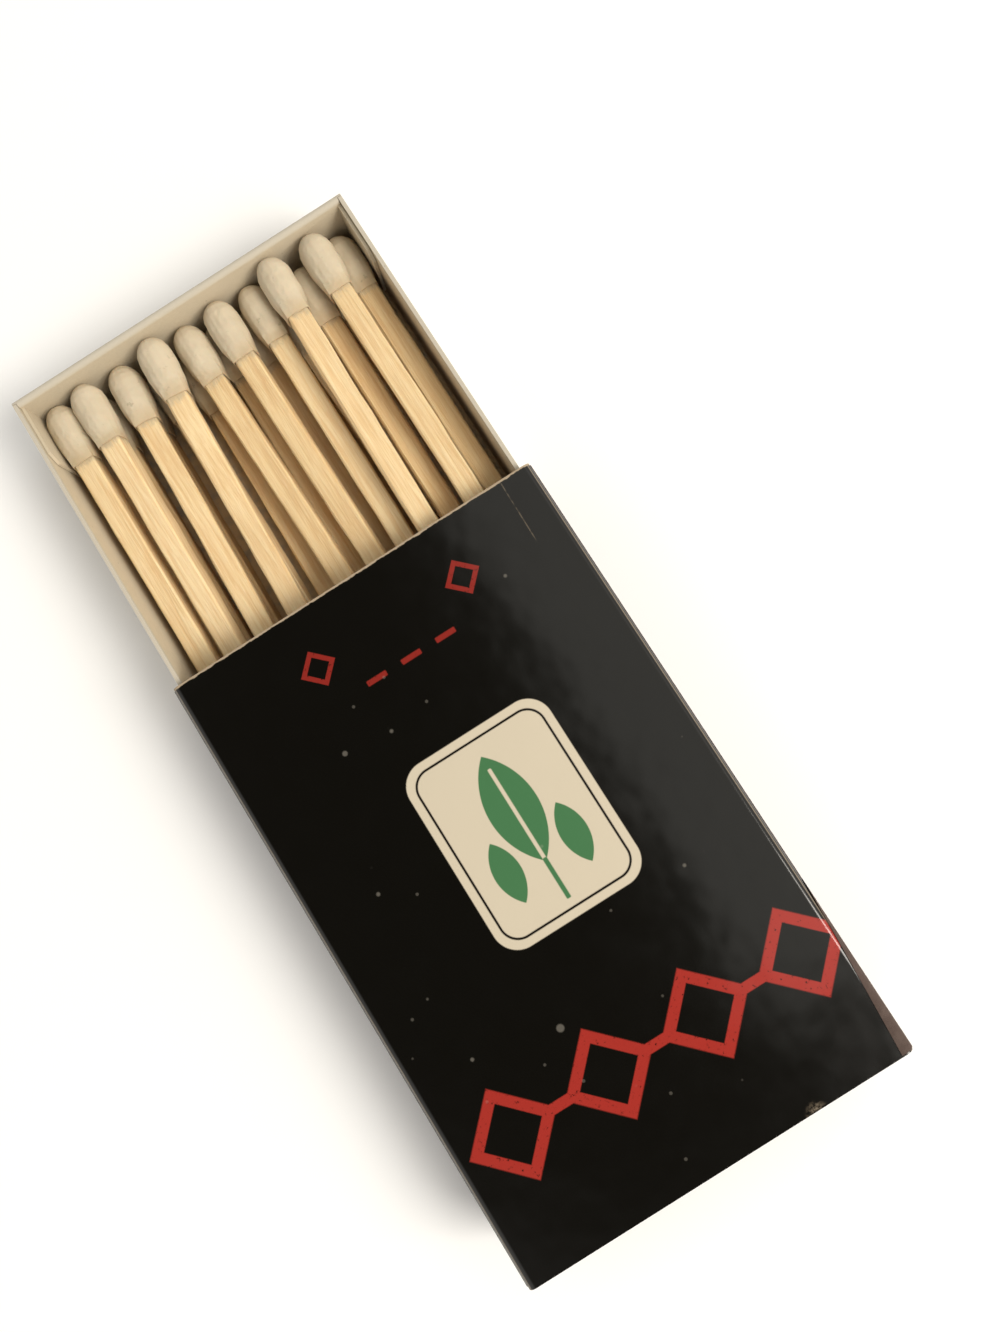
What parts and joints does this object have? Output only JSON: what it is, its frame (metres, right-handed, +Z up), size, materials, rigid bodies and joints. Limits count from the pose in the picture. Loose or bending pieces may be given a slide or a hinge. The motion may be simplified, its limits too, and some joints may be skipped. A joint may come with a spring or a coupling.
{
  "type": "matchbox",
  "caption": "Sliding-tray matchbox: folded card sleeve with a striking surface on each side wall, and a folded card tray of wooden matches that slides out of either end.",
  "frame": {"origin": "centre of the sleeve's underside", "axes": "+Y is the way the tray is drawn out and the length of the box, +X points to the side wall with the glued lap, +Z is up"},
  "size_m": [0.0362, 0.0864, 0.0097],
  "materials": {
    "printed_card": "glossy black printed card",
    "striking_coat": "matte gritty reddish brown coat",
    "grey_board": "matte grey-beige board",
    "match_wood": "pale bare wood",
    "head_coat": "matte cream dipped coat"
  },
  "bodies": {
    "sleeve": {"sleeve": "printed_card", "striker_right": "striking_coat", "striker_left": "striking_coat"},
    "tray": {"tray": "grey_board", "match_01_stick": "match_wood", "match_01_head": "head_coat", "match_02_stick": "match_wood", "match_02_head": "head_coat", "match_03_stick": "match_wood", "match_03_head": "head_coat", "match_04_stick": "match_wood", "match_04_head": "head_coat", "match_05_stick": "match_wood", "match_05_head": "head_coat", "match_06_stick": "match_wood", "match_06_head": "head_coat", "match_07_stick": "match_wood", "match_07_head": "head_coat", "match_08_stick": "match_wood", "match_08_head": "head_coat", "match_09_stick": "match_wood", "match_09_head": "head_coat", "match_10_stick": "match_wood", "match_10_head": "head_coat", "match_11_stick": "match_wood", "match_11_head": "head_coat", "match_12_stick": "match_wood", "match_12_head": "head_coat", "match_13_stick": "match_wood", "match_13_head": "head_coat", "match_14_stick": "match_wood", "match_14_head": "head_coat", "match_15_stick": "match_wood", "match_15_head": "head_coat", "match_16_stick": "match_wood", "match_16_head": "head_coat", "match_17_stick": "match_wood", "match_17_head": "head_coat", "match_18_stick": "match_wood", "match_18_head": "head_coat", "match_19_stick": "match_wood", "match_19_head": "head_coat", "match_20_stick": "match_wood", "match_20_head": "head_coat"}
  },
  "joints": [
    {"name": "tray_slide", "type": "slide", "parent": "sleeve", "child": "tray", "axis": [0, 1, 0], "range_m": [-0.0805, 0.02]}
  ]
}
